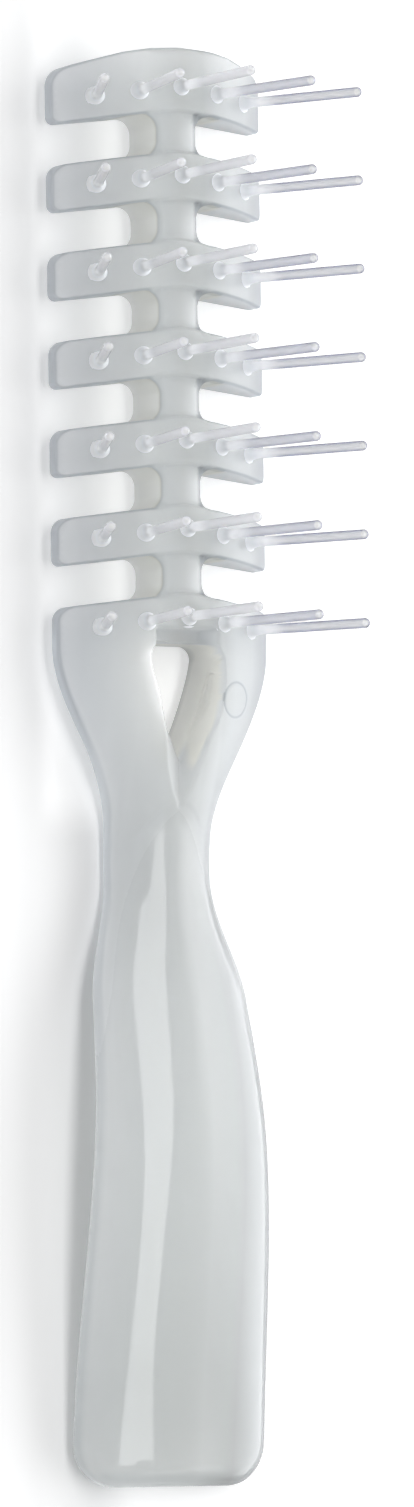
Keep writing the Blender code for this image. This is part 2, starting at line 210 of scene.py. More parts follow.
# Vent, with the pocket above it and the groove below
# The mould's two halves touch here, so the opening goes right through below the last row. Its
# walls taper towards the back, a pocket leads into it, and a groove runs on from its point.
VENT_TOP = LAST_ROW + 4.0 * MM
VENT_HALF = 6.25 * MM
VENT_CORNER = 2.1 * MM
VENT_SIDE = VENT_TOP + VENT_CORNER
VENT_END = VENT_TOP + 18.4 * MM
VENT_CURVE = 1.3
VENT_DRAFT = 0.35 * MM
VENT_POINT = 0.5 * MM
VENT_STEPS = 26
VENT_CROWDING = 0.8
RIGHT_FLANK = [(VENT_TOP, 5.4 * MM), (97.0 * MM, 6.85 * MM), (101.7 * MM, 7.05 * MM),
               (104.8 * MM, 6.5 * MM), (109.6 * MM, 4.4 * MM), (112.8 * MM, 3.35 * MM),
               (117.5 * MM, 1.6 * MM), (120.2 * MM, 0.4 * MM)]
LEFT_FLANK = [(VENT_TOP, 5.4 * MM), (97.0 * MM, 6.4 * MM), (101.7 * MM, 5.2 * MM),
              (104.8 * MM, 4.3 * MM), (109.6 * MM, 3.5 * MM), (112.8 * MM, 3.1 * MM),
              (117.5 * MM, 1.6 * MM), (120.2 * MM, 0.4 * MM)]
DISH_SLOPES = [(VENT_TOP, 4.2), (103.0 * MM, 4.2), (108.0 * MM, 1.6), (112.5 * MM, 0.72), (120.2 * MM, 0.6)]
DISH_DEEPEST = 3.9 * MM
DISH_END = 115.0 * MM
DISH_NEAR = 0.5 * MM
DISH_FAR = 2.0 * MM
DISH_FADE = 2.5 * MM
DISH_LINES = (-0.45 * MM, -0.12 * MM, 0.12 * MM)
DISH_SPACING = 0.3 * MM
POCKET_TOP = LAST_ROW + 1.5 * MM
POCKET_DEPTH = 4.1 * MM
POCKET_FLOOR = 3.7 * MM
POCKET_MOUTH = 5.9 * MM
POCKET_WALL = 0.6 * MM
ARCH_TOP = 118.8 * MM
ARCH_CURVE = 150.0
ARCH_DROP = 0.15 * MM
ARCH_BAND = 1.2 * MM
ARCH_FADE = 24.0 * MM
ARCH_HALF = 5.0 * MM
ARCH_BLEND = 2.0 * MM
MARK_AT = Vector((9.8 * MM, 103.1 * MM))
MARK_RADIUS = 2.75 * MM
MARK_LINE = 0.3 * MM
MARK_WIDTH = 0.1 * MM
MARK_DEPTH = 0.18 * MM
MARK_POINTS = 64


def vent_side(draft):
    """Points down the +X side of the vent, drawn in by the draft of its walls."""
    half = VENT_HALF - draft
    middle = Vector((0.0, VENT_TOP))
    points = [middle] + round_corner(middle, Vector((half, VENT_TOP)), Vector((half, VENT_END)), VENT_CORNER)
    for step in range(1, VENT_STEPS + 1):
        share = (step / VENT_STEPS) ** VENT_CROWDING
        reach = max(0.0, VENT_HALF * (1 - share ** VENT_CURVE) - draft)
        blunted = math.sqrt(reach * reach + VENT_POINT * reach * (1 - reach / half))
        points.append(Vector((blunted, VENT_SIDE + (VENT_END - VENT_SIDE) * share)))
    return points


def arch(x):
    """Station of the arched ridge that ends the fork, where the polished neck begins."""
    return ARCH_TOP + ARCH_CURVE * x * x


def from_mark(x, station):
    """Distance from the round line that the ejector left."""
    return abs((Vector((x, station)) - MARK_AT).length - MARK_RADIUS)


def front_drop(x, station):
    """How far the front lies below its plain dome: spine, pocket, vent, arch, dip, heel and mark."""
    across = abs(x)
    drop = 0.0
    row = math.floor((station - FIRST_ROW) / ROW_PITCH)
    if 0 <= row < ROWS - 1:
        seat = FIRST_ROW + row * ROW_PITCH + swept(x)
        inside = min(station - seat - RIB_HALF, seat + ROW_PITCH - RIB_HALF - station)
        drop = SPINE_DROP * smooth_step(-SPINE_STEP, SPINE_STEP, inside)
    if POCKET_TOP < station < VENT_TOP + VENT_CORNER:
        flank = 1 - smooth_step(POCKET_FLOOR, POCKET_MOUTH, across)
        drop = max(drop, POCKET_DEPTH * flank * smooth_step(POCKET_TOP, POCKET_TOP + POCKET_WALL, station))
    if VENT_TOP < station < RIGHT_FLANK[-1][0]:
        half = flowing(RIGHT_FLANK if x > 0 else LEFT_FLANK, station)
        drop = max(drop, min(DISH_DEEPEST, flowing(DISH_SLOPES, station) * (half - across)))
    past_arch = station - arch(across)
    if past_arch > 0:
        ridge = ARCH_DROP * (1 - smooth_step(ARCH_HALF, ARCH_HALF + ARCH_BLEND, across))
        drop += ridge * smooth_step(0.0, ARCH_BAND, past_arch) * (1 - smooth_step(0.0, ARCH_FADE, past_arch))
    drop += DIP * smooth_step(ARCH_TOP, DIP_END, station) * (1 - smooth_step(DIP_END, DIP_FADE, station))
    drop += HEEL_DROP * (max(0.0, station - LENGTH + HEEL_FALL) / HEEL_FALL) ** 2
    drop += MARK_DEPTH * (1 - smooth_step(0.0, MARK_LINE, from_mark(x, station)))
    return drop


def flanked(share, flatness):
    """Drop of a section that has a flat flank on either side of its crown, as a share of the dome."""
    lean = FLANK_SLOPE * flatness * CREST
    flank = lean * math.log(math.cosh(share / CREST))
    rest = 1 - lean * math.log(math.cosh(1 / CREST))
    return flank + rest * (max(0.0, share - FLANK_END) / (1 - FLANK_END)) ** 3


def front_height(x, station):
    """World Z of the front of the body at a place on its plan."""
    half = flowing(WIDTHS, station) / 2
    thickness = flowing(THICKNESSES, station)
    dome = thickness - flowing(EDGES, station) - flowing(BELLIES, station)
    radius = (half * half + dome * dome) / (2 * dome)
    across = min(abs(x), half)
    arc = radius - math.sqrt(radius * radius - across * across)
    flanks = flowing(FLANKS, station)
    crown = thickness - (1 - flanks) * arc - flanks * dome * flanked(across / half, half / dome)
    return BACK_Z + flowing(BACKS, station) + crown - front_drop(x, station)


def back_height(x, station):
    """World Z of the back of the body at a place on its plan."""
    across = min(1.0, abs(x) / flowing(WIDTHS, station) * 2)
    return max(0.0, BACK_Z + flowing(BACKS, station) + flowing(BELLIES, station) * across * across)


# Body
# One solid moulding in milky plastic: its outline and the vent give the upright walls, one half
# of the mould the domed front and the other the back. Every edge is broken by its own radius.
ROUND_STEPS = 5
SLOT_ROUND = 0.55 * MM
SPINE_ROUND = 1.2 * MM
END_ROUND = 0.35 * MM
GRIP_ROUND = 2.0 * MM
HEEL_ROUND = 3.8 * MM
BACK_ROUND = 0.4 * MM
VENT_ROUND = 0.35 * MM
VENT_BACK_ROUND = 0.2 * MM
WEB_START = 0.5 * MM
WEB_END = 3.0 * MM
END_BLEND = 3.0 * MM
HEEL_START = 8.0 * MM
HEEL_STOP = 1.0 * MM
WALL_SHARE = 0.42
WALL_STEPS = 4
FINE_SPACING = 0.3 * MM
FINE_HALF = 14.0 * MM
FINE_START = POCKET_TOP - 0.6 * MM
FINE_END = ARCH_TOP + 6.0 * MM
FINE_GAP = 0.18 * MM
HEAD_GAP = 0.3 * MM
GRIP_START = FLARE + 0.8 * MM
GRIP_GAP = 0.5 * MM
STEP_LINES = (-1.2, -0.6, 0.0, 0.6, 1.2)
STEP_COUNT = 14
STEP_SPACING = 0.42 * MM
STEP_GAP = 0.2 * MM
BACK_SPACING = 1.4 * MM
KNIT_GAP = 1e-9
EDGE_SPACING = 0.2 * MM
POLISH_START = 0.5 * MM
POLISH_END = 3.6 * MM
POLISH_SPREAD = 1.4
# Where the painted dark line along the edges lies, and how dark it is made on the vent's hem, the handle, the
# heel, the spine and the ejector's ring.
HEM = 0.45 * MM
PAINTED_SHADE_LINE = 0.1 * MM
EDGE_BAND = 0.45 * MM
VENT_CORE = 0.5
GRIP_EDGE = 0.26 * MM
HEEL_RIM = 1.5 * MM
CORE_DEPTH = 0.4 * MM
CORE_HALF = 8.0 * MM
CORE_FADE = 1.5 * MM
CORE_LIFT = 0.25 * MM
CORE_DEEP = 0.5
PAINTED_SPINE_SHADE = 0.14 * MM
PAINTED_HEEL_SHADE = 0.28 * MM
WALL_LIGHT = 1.2 * MM
RIGHT_SHADE = 0.25


def handle_rounding(station):
    """Radius of the handle's long edges, which grows at the heel."""
    at_heel = smooth_step(LENGTH - HEEL_START, LENGTH - HEEL_STOP, station)
    return GRIP_ROUND + (HEEL_ROUND - GRIP_ROUND) * at_heel


def front_rounding(place):
    """Radius of the outline's edge on the front."""
    across = abs(place.x)
    beside_spine = 1 - smooth_step(SPINE_HALF + WEB_START, SPINE_HALF + WEB_END, across)
    at_end = smooth_step(HEAD_HALF - END_BLEND, HEAD_HALF, across)
    head = SLOT_ROUND + (SPINE_ROUND - SLOT_ROUND) * beside_spine + (END_ROUND - SLOT_ROUND) * at_end
    if place.y > LAST_ROW:
        head = END_ROUND
    return head + (handle_rounding(place.y) - head) * smooth_step(SHOULDER, NECK, place.y)


def back_rounding(place):
    """Radius of the outline's edge on the back."""
    return BACK_ROUND + (handle_rounding(place.y) - BACK_ROUND) * smooth_step(SHOULDER, NECK, place.y)


def vent_front_rounding(place):
    """Radius of the vent's edge on the front."""
    return VENT_ROUND


def vent_back_rounding(place):
    """Radius of the vent's edge on the back."""
    return VENT_BACK_ROUND


def whole_outline(side):
    """Closed outline from its +X side, which starts and ends on the middle line."""
    mirrored = [Vector((-point.x, point.y)) for point in reversed(side) if point.x > TOUCH]
    ends = (side[0], side[-1])
    return [point for point in side if point.x > TOUCH or point in ends] + mirrored


def even_steps(outline, pattern):
    """The outline with its long sides divided as the pattern outline's sides need."""
    points = []
    for index, point in enumerate(outline):
        following = outline[(index + 1) % len(outline)]
        side = pattern[(index + 1) % len(pattern)] - pattern[index]
        count = max(1, round(side.length / HEAD_SPACING))
        points += [point.lerp(following, step / count) for step in range(count)]
    return points


def into_plastic(outline, side):
    """Unit vectors from an outline's points into the plastic on one side of it."""
    normals = []
    for index, point in enumerate(outline):
        before = (point - outline[index - 1]).normalized()
        after = (outline[(index + 1) % len(outline)] - point).normalized()
        way = (before + after).normalized()
        normals.append(Vector((-way.y, way.x)) * side)
    return normals


def wall_rings(front_line, back_line, side, front_round, back_round):
    """Rings of places (x, station, z) from the front's edge down a wall to the back's edge."""
    rings = []
    quarter = math.pi / 2 / ROUND_STEPS
    front_radii = []
    back_radii = []
    for above, below in zip(front_line, back_line):
        room = front_height(*above) - back_height(*below)
        front_radii.append(min(front_round(above), WALL_SHARE * room))
        back_radii.append(min(back_round(below), WALL_SHARE * room))
    normals = into_plastic(front_line, side)
    for step in range(ROUND_STEPS, -1, -1):
        ring = []
        for place, normal, radius in zip(front_line, normals, front_radii):
            spot = place + normal * radius * (1 - math.cos(step * quarter))
            ring.append((spot.x, spot.y, front_height(*spot) - radius * (1 - math.sin(step * quarter))))
        rings.append(ring)
    normals = into_plastic(back_line, side)
    back_rings = []
    for step in range(ROUND_STEPS + 1):
        ring = []
        for place, normal, radius in zip(back_line, normals, back_radii):
            spot = place + normal * radius * (1 - math.cos(step * quarter))
            ring.append((spot.x, spot.y, back_height(*spot) + radius * (1 - math.sin(step * quarter))))
        back_rings.append(ring)
    above, below = rings[-1], back_rings[0]
    for step in range(1, WALL_STEPS):
        share = step / WALL_STEPS
        rings.append([tuple(Vector(high).lerp(Vector(low), share)) for high, low in zip(above, below)])
    return rings + back_rings


def staggered(half, start, end, spacing):
    """Points of a staggered grid over a stretch of the body."""
    points = []
    lines = math.ceil((end - start) / spacing)
    for line in range(lines):
        across = math.ceil(2 * half / spacing)
        for index in range(across + 1):
            x = -half + (index + 0.5 * (line % 2)) * spacing
            points.append(Vector((x, start + line * (end - start) / lines)))
    return points


def apart(points, kept, distance):
    """The points that stay this far from all that are kept."""
    tree = KDTree(len(kept))
    for index, place in enumerate(kept):
        tree.insert((place[0], place[1], 0.0), index)
    tree.balance()
    return [point for point in points if tree.find((point.x, point.y, 0.0))[2] > distance]


def within(point, loop):
    """Whether a point of the plan lies within a loop of places."""
    crossings = 0
    for here, there in zip(loop, loop[1:] + loop[:1]):
        if (here[1] > point.y) != (there[1] > point.y):
            reach = here[0] + (point.y - here[1]) / (there[1] - here[1]) * (there[0] - here[0])
            crossings += point.x < reach
    return crossings % 2 == 1


def cap(solid, loops, inner, height):
    """Triangles between the loops of one face of the body, through the inner points."""
    places = []
    edges = []
    for loop in loops:
        first = len(places)
        places += [Vector(place[:2]) for place in loop]
        edges += [(first + index, first + (index + 1) % len(loop)) for index in range(len(loop))]
    places += inner
    spots, _, triangles, _, _, _ = delaunay_2d_cdt(places, edges, [], 1, KNIT_GAP)
    middles = [sum((spots[index] for index in triangle), Vector((0, 0))) / 3 for triangle in triangles]
    triangles = [triangle for triangle, middle in zip(triangles, middles) if not within(middle, loops[1])]
    corners = {}
    for triangle in triangles:
        for index in triangle:
            if index not in corners:
                x, station = spots[index]
                corners[index] = solid.verts.new((x, station_to_y(station), height(x, station)))
    for triangle in triangles:
        solid.faces.new([corners[index] for index in triangle])


def vent_lines():
    """Points along the crisp edges of the vent's flanks and round the ejector's mark."""
    points = []
    station = VENT_TOP + DISH_SPACING
    while station < RIGHT_FLANK[-1][0]:
        points += [Vector((flowing(RIGHT_FLANK, station) + offset, station)) for offset in DISH_LINES]
        points += [Vector((-flowing(LEFT_FLANK, station) - offset, station)) for offset in DISH_LINES]
        station += DISH_SPACING
    for radius in (MARK_RADIUS - MARK_LINE, MARK_RADIUS, MARK_RADIUS + MARK_LINE):
        turns = [2 * math.pi * index / MARK_POINTS for index in range(MARK_POINTS)]
        points += [MARK_AT + Vector((math.cos(turn), math.sin(turn))) * radius for turn in turns]
    return points


def spine_steps():
    """Points along the low walls where the spine's front drops away from each rib."""
    points = []
    for row in range(1, ROWS):
        seat = FIRST_ROW + (row - 1) * ROW_PITCH
        for edge in (seat + RIB_HALF, seat + ROW_PITCH - RIB_HALF):
            for offset in STEP_LINES:
                for index in range(-STEP_COUNT, STEP_COUNT + 1):
                    x = index * STEP_SPACING
                    points.append(Vector((x, edge + swept(x) + offset * SPINE_STEP)))
    return points


outer = whole_outline(head_side + handle_side)
outer = even_steps(outer, outer)
vent_front = whole_outline(vent_side(0.0))
vent_back = whole_outline(vent_side(VENT_DRAFT))
outer_rings = wall_rings(outer, outer, 1, front_rounding, back_rounding)
vent_rings = wall_rings(even_steps(vent_front, vent_front), even_steps(vent_back, vent_front), -1,
                        vent_front_rounding, vent_back_rounding)

body = bmesh.new()
for rings in (outer_rings, vent_rings):
    loops = [[body.verts.new((x, station_to_y(station), z)) for x, station, z in ring] for ring in rings]
    for upper, lower in zip(loops, loops[1:]):
        for index in range(len(upper)):
            following = (index + 1) % len(upper)
            body.faces.new((upper[index], upper[following], lower[following], lower[index]))

front_loops = [outer_rings[0], vent_rings[0]]
rims = front_loops[0] + front_loops[1]
steps = apart(spine_steps() + vent_lines(), rims, STEP_GAP)
fine = staggered(FINE_HALF, FINE_START, FINE_END, FINE_SPACING)
fine = apart(fine, rims + [tuple(point) for point in steps], FINE_GAP)
coarse = staggered(HEAD_HALF, 0.0, FINE_START - HEAD_GAP, HEAD_SPACING)
coarse += staggered(HEAD_HALF, FINE_START, FLARE, HEAD_SPACING)
coarse = apart(coarse, rims + [tuple(point) for point in fine + steps], HEAD_GAP)
grip = apart(staggered(HEAD_HALF, GRIP_START, LENGTH, HANDLE_SPACING), rims, GRIP_GAP)
cap(body, front_loops, steps + fine + coarse + grip, front_height)

back_loops = [outer_rings[-1], vent_rings[-1]]
back_points = apart(staggered(HEAD_HALF, 0.0, LENGTH, BACK_SPACING), back_loops[0] + back_loops[1], GRIP_GAP)
cap(body, back_loops, back_points, back_height)
bmesh.ops.remove_doubles(body, verts=body.verts, dist=TOUCH)
bmesh.ops.recalc_face_normals(body, faces=body.faces)

edge_points = []
for here, there in zip(outer, outer[1:] + outer[:1]):
    count = math.ceil((there - here).length / EDGE_SPACING)
    edge_points += [here.lerp(there, step / count) for step in range(count)]
edge_tree = KDTree(len(edge_points))
for index, point in enumerate(edge_points):
    edge_tree.insert((point.x, point.y, 0.0), index)
edge_tree.balance()

# What the plastic's shader is told at each point of the surface, including where light and shade are painted
# into its colour.
thickness_layer = body.verts.layers.float.new("thickness")
polish_layer = body.verts.layers.float.new("polish")
edge_layer = body.verts.layers.float.new("from_edge")
core_layer = body.verts.layers.float.new("core")
painted_light_layer = body.verts.layers.float.new("painted_light_and_shade")
for vertex in body.verts:
    x = vertex.co.x
    station = TIP_Y - vertex.co.y
    front = front_height(x, station)
    back = back_height(x, station)
    below_front = front - vertex.co.z
    above_back = vertex.co.z - back
    vertex[thickness_layer] = (front - back) / MM

    past_arch = station - arch(x)
    vertex[polish_layer] = smooth_step(POLISH_START, POLISH_END + POLISH_SPREAD * abs(x), past_arch)

    # The core marks the deep walls of the spine, slots and vent, which get a painted warm tint for the light
    # that comes through the plastic.
    core = smooth_step(CORE_DEPTH, 2 * CORE_DEPTH, below_front) * smooth_step(0.0, CORE_LIFT, above_back)
    core *= 1 - smooth_step(CORE_HALF - CORE_FADE, CORE_HALF + CORE_FADE, abs(x))
    core *= FIRST_ROW < station < NECK
    vertex[core_layer] = core
    if station > LAST_ROW:
        flank = smooth_step(CORE_DEPTH, 2 * CORE_DEPTH, front_drop(x, station))
        flank *= smooth_step(DISH_NEAR, DISH_FAR, x) * smooth_step(VENT_TOP, VENT_TOP + DISH_FADE, station)
        flank *= 1 - smooth_step(DISH_END - DISH_FADE, DISH_END, station)
        vertex[core_layer] = VENT_CORE * max(core, flank)

    # Painted shade: from_edge also sets a thin dark line just inside the outline's rounded edges (on the rib
    # ends, along the front and back edges of their walls), along the vent's back edge and the spine's right
    # edge, round the heel's rim and in the ejector's ring; on the handle's edges it is kept lighter.
    from_edge = edge_tree.find((x, station, 0.0))[2]
    if x > CORE_HALF and station < SHOULDER:
        from_edge = max(from_edge, min(below_front, above_back))
    if station < LENGTH - HEEL_RIM:
        from_edge = max(from_edge, GRIP_EDGE * smooth_step(SHOULDER, NECK, station))
    if core > CORE_DEEP:
        from_edge = EDGE_BAND
    on_heel = smooth_step(LENGTH - 2 * HEEL_RIM, LENGTH - HEEL_RIM, station) * smooth_step(HEEL_HALF, 0.0, x)
    from_edge = min(max(from_edge, PAINTED_HEEL_SHADE * on_heel), EDGE_BAND + (PAINTED_HEEL_SHADE - EDGE_BAND) * on_heel)

    # Painted light and shade: through the fork, walls left of the vent are made lighter and everything right
    # of it darker; on the head, the spine's right edge is made darker.
    light = smooth_step(0.0, WALL_LIGHT, below_front) * smooth_step(-VENT_HALF, -VENT_HALF - WALL_LIGHT, x)
    light -= RIGHT_SHADE * smooth_step(VENT_HALF, VENT_HALF + WALL_LIGHT, x)
    light *= smooth_step(LAST_ROW, SHOULDER, station) * (1 - smooth_step(NECK, GRIP, station))
    if 0 < x < CORE_HALF and station < LAST_ROW:
        on_spine = smooth_step(0.0, SPINE_DROP, front_drop(x, station))
        on_spine *= smooth_step(SPINE_HALF - SPINE_ROUND, SPINE_HALF - SPINE_ROUND / 2, x)
        from_edge = min(from_edge, EDGE_BAND + (PAINTED_SPINE_SHADE - EDGE_BAND) * on_spine)
        light = -on_spine
    vertex[painted_light_layer] = light

    in_hem = station > LAST_ROW and core > CORE_DEEP and above_back < HEM
    if in_hem or from_mark(x, station) < MARK_WIDTH:
        from_edge = PAINTED_SHADE_LINE
    vertex[edge_layer] = min(from_edge, EDGE_BAND) / EDGE_BAND

moulding_mesh = bpy.data.meshes.new("moulding")
body.to_mesh(moulding_mesh)
body.free()
moulding_mesh.shade_smooth()
moulding = bpy.data.objects.new("moulding", moulding_mesh)
bpy.context.scene.collection.objects.link(moulding)

DEEPEST_PLASTIC = 11.0
MILK_TINTS = [(0.2, (0.548, 0.575, 0.612)), (0.95, (0.562, 0.584, 0.585))]
TONE_HALF = 0.02
# Painted light and shade by place across the brush: on the head slightly darker at the left end, lighter left
# of the middle, darker at and just right of the middle and bluish darker at the right end; on the handle
# lighter on the left and much darker on the right.
HEAD_PAINTED_SHADING = [(0.1, (0.91, 0.925, 0.94)), (0.2, (1.06, 1.08, 1.09)), (0.3, (1.12, 1.145, 1.145)),
              (0.43, (0.93, 0.945, 0.94)), (0.5, (0.82, 0.82, 0.80)), (0.6, (0.75, 0.755, 0.75)),
              (0.74, (0.98, 1.0, 1.03)), (0.84, (1.0, 1.02, 1.06)), (0.89, (0.88, 0.90, 0.95)),
              (0.95, (0.74, 0.77, 0.85))]
GRIP_PAINTED_SHADING = [(0.2, (1.04, 1.06, 1.03)), (0.56, (0.93, 0.935, 0.92)), (0.72, (0.57, 0.57, 0.555)),
              (0.85, (0.61, 0.615, 0.61))]
PAINTED_THROUGH_LIGHT_CREAMS = [(0.5, (0.575, 0.573, 0.510)), (1.0, (0.625, 0.630, 0.570))]
# Painted shade along the edges: darkest a little inside the outline.
PAINTED_EDGE_SHADE_TONES = [(0.0, (1.0, 1.01, 1.02)), (0.3, (0.76, 0.78, 0.80)), (0.95, (1.0, 1.0, 1.0))]
DARKEST = 0.73
LIGHTEST = 1.27
FLOW_SCALE = 28.0
FLOW_DETAIL = 3.0
FLOW_TWIST = 1.2
FLOW_VEIL = (0.97, 1.03)
GRAIN_SCALE = 2600.0
GRAIN_DETAIL = 4.0
GRAIN_MOTTLE = (-0.02, 0.02)
GRAIN_STRENGTH = 0.04
GRAIN_HEIGHT = 0.05 * MM
SATIN = (0.43, 0.07)
GLOSS = (0.5, 0.4)
EDGE_GLOSS = (0.1, 1.0)
EDGE_MILK = (0.3, 1.0)


def new_material(name):
    """A new material, with its node tree and its shader."""
    material = bpy.data.materials.new(name)
    material.use_nodes = True
    return material, material.node_tree, material.node_tree.nodes["Principled BSDF"]


def place_on(tree):
    """The place on the object, whole and as X, Y and Z."""
    place = tree.nodes.new("ShaderNodeTexCoord").outputs["Object"]
    split = tree.nodes.new("ShaderNodeSeparateXYZ")
    tree.links.new(place, split.inputs["Vector"])
    return place, split.outputs


def layer(tree, name):
    """What the mesh holds under this name."""
    node = tree.nodes.new("ShaderNodeAttribute")
    node.attribute_name = name
    return node.outputs["Fac"]


def noise(tree, place, scale, detail=2.0, distortion=0.0):
    """Soft noise of this scale."""
    node = tree.nodes.new("ShaderNodeTexNoise")
    for name, setting in (("Scale", scale), ("Detail", detail), ("Distortion", distortion)):
        node.inputs[name].default_value = setting
    tree.links.new(place, node.inputs["Vector"])
    return node.outputs["Fac"]


def ranged(tree, value, low, high, start=0.0, end=1.0, kind="LINEAR"):
    """The value's run from low to high, carried to a run from start to end."""
    node = tree.nodes.new("ShaderNodeMapRange")
    node.interpolation_type = kind
    for name, setting in (("From Min", low), ("From Max", high), ("To Min", start), ("To Max", end)):
        node.inputs[name].default_value = setting
    tree.links.new(value, node.inputs["Value"])
    return node.outputs["Result"]


def toned(tree, value, tones, kind="LINEAR"):
    """A colour that goes through (position, colour) stops as the value grows."""
    node = tree.nodes.new("ShaderNodeValToRGB")
    node.color_ramp.interpolation = kind
    stops = node.color_ramp.elements
    stops.remove(stops[1])
    stops[0].position = tones[0][0]
    stops[0].color = (*tones[0][1], 1.0)
    for position, tone in tones[1:]:
        stops.new(position).color = (*tone, 1.0)
    tree.links.new(value, node.inputs["Fac"])
    return node.outputs["Color"]


def worked(tree, operation, *values):
    """The sum, product or other result of some values."""
    node = tree.nodes.new("ShaderNodeMath")
    node.operation = operation
    for value, socket in zip(values, node.inputs):
        tree.links.new(value, socket)
    return node.outputs[0]


def mixed(tree, first, second, share=None, kind="MIX"):
    """Two colours mixed by a share, or wholly where none is given."""
    node = tree.nodes.new("ShaderNodeMix")
    node.data_type = "RGBA"
    node.blend_type = kind
    node.inputs["Factor"].default_value = 1.0
    if share is not None:
        tree.links.new(share, node.inputs["Factor"])
    tree.links.new(first, node.inputs["A"])
    tree.links.new(second, node.inputs["B"])
    return node.outputs["Result"]


def roughened(tree, shader, grain, strength, distance):
    """Gives the shader's surface the grain as a fine bump."""
    bump = tree.nodes.new("ShaderNodeBump")
    bump.inputs["Strength"].default_value = strength
    bump.inputs["Distance"].default_value = distance
    tree.links.new(grain, bump.inputs["Height"])
    tree.links.new(bump.outputs["Normal"], shader.inputs["Normal"])


milk, tree, shader = new_material("milky_moulding")
place, split = place_on(tree)
polish = layer(tree, "polish")
core = layer(tree, "core")
from_edge = layer(tree, "from_edge")

plastic = toned(tree, ranged(tree, layer(tree, "thickness"), 0.0, DEEPEST_PLASTIC), MILK_TINTS)
veil = ranged(tree, noise(tree, place, FLOW_SCALE, FLOW_DETAIL, FLOW_TWIST), 0.0, 1.0, *FLOW_VEIL)
plastic = mixed(tree, plastic, veil, kind="MULTIPLY")
# Painted light and shade across the brush, blended from the head's tones to the handle's by the polish.
across = ranged(tree, split["X"], -TONE_HALF, TONE_HALF)
tone = mixed(tree, toned(tree, across, HEAD_PAINTED_SHADING), toned(tree, across, GRIP_PAINTED_SHADING), polish)
plastic = mixed(tree, plastic, tone, kind="MULTIPLY")
# Painted light and shade from the mesh, carried from darkest to lightest.
painted_light_and_shade = ranged(tree, layer(tree, "painted_light_and_shade"), -1.0, 1.0, DARKEST, LIGHTEST)
plastic = mixed(tree, plastic, painted_light_and_shade, kind="MULTIPLY")
# Painted light: the deep walls take a warm cream for the light that comes through the plastic.
plastic = mixed(tree, plastic, toned(tree, core, PAINTED_THROUGH_LIGHT_CREAMS), ranged(tree, core, 0.0, CORE_DEEP))
# Painted shade: a dark line along the edges, set by from_edge.
plastic = mixed(tree, plastic, toned(tree, from_edge, PAINTED_EDGE_SHADE_TONES), kind="MULTIPLY")
tree.links.new(plastic, shader.inputs["Base Color"])

grain = noise(tree, place, GRAIN_SCALE, GRAIN_DETAIL)
satin = ranged(tree, polish, 0.0, 1.0, *SATIN)
mottle = ranged(tree, grain, 0.0, 1.0, *GRAIN_MOTTLE)
tree.links.new(worked(tree, "ADD", satin, mottle), shader.inputs["Roughness"])
gloss = ranged(tree, polish, 0.0, 1.0, *GLOSS)
inside = ranged(tree, from_edge, 0.0, 1.0, *EDGE_GLOSS)
tree.links.new(worked(tree, "MULTIPLY", gloss, inside), shader.inputs["Specular IOR Level"])
tree.links.new(ranged(tree, from_edge, 0.0, 1.0, *EDGE_MILK), shader.inputs["Subsurface Weight"])
roughened(tree, shader, grain, GRAIN_STRENGTH, GRAIN_HEIGHT)
shader.inputs["IOR"].default_value = 1.5
shader.inputs["Subsurface Radius"].default_value = (1.0, 1.0, 1.05)
shader.inputs["Subsurface Scale"].default_value = 0.06
moulding_mesh.materials.append(milk)

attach(moulding, "root")
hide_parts("spine", "fork", "handle", *[f"rib_{row}" for row in range(1, ROWS)])


# Pins
# Five a row, moulded in the same shot of plastic: a flared root that grows out of the dome, a
# plain round shaft and a half-round tip. Each leans a little less than the dome's own slope.
PINS_PER_ROW = 5
DOME_RADIUS = 25.1 * MM
DOME_AXIS = BACK_Z + HEAD_THICKNESS - DOME_RADIUS
SEAT_STEP = math.radians(16.0)
LEAN_STEP = math.radians(12.8)
# A hair less than the solids' 22.6 and 0.8 mm, so that nothing stands out of their box.
PIN_LENGTH = 22.599 * MM
PIN_RADIUS = 0.797 * MM
ROOT_RADIUS = 1.8 * MM
ROOT_HEIGHT = 2.6 * MM
ROOT_LOW = 0.18 * MM
ROOT_SINK = 0.9 * MM
PIN_SIDES = 28
TIP_STEPS = 7
ROOT_STEPS = 10
# The pins' tint is a little lighter at the foot than on the shaft, as painted light.
PIN_TINTS = [(0.03, (0.93, 0.95, 0.975)), (0.3, (0.90, 0.915, 0.95))]
# Painted shade: dark bluish edges on the pins' shafts where they turn away, weaker on pins towards the left
# of the head.
PIN_PAINTED_EDGE_SHADE = [(0.06, (1.0, 1.0, 1.0)), (0.28, (0.50, 0.53, 0.76)), (0.6, (0.15, 0.17, 0.42))]
CLEAR_OF_HEAD = (0.0, 0.014, 0.3, 1.0)
PIN_FLOW_SCALE = 90.0
PIN_VEIL = (0.96, 1.04)
PIN_GRAIN_SCALE = 1800.0
PIN_GRAIN_STRENGTH = 0.03
PIN_GRAIN_HEIGHT = 0.03 * MM
PIN_ROUGHNESS = (0.16, 0.26)
PAINTED_EDGE_RISE = (0.1, 0.3)
SHEEN_RISE = (0.03, 0.25, 0.05, 0.5)
MATT_TURN = (0.15, 0.45, 1.0, 0.06)
MILKY_RISE = (0.04, 0.16)
CLEAR_RISE = (0.1, 0.35)
GLASSY_TURN = (0.08, 0.45, 0.25, 0.55)
PAINTED_FOOT_GLOW = (0.03, 0.14, 0.07, 0.0)


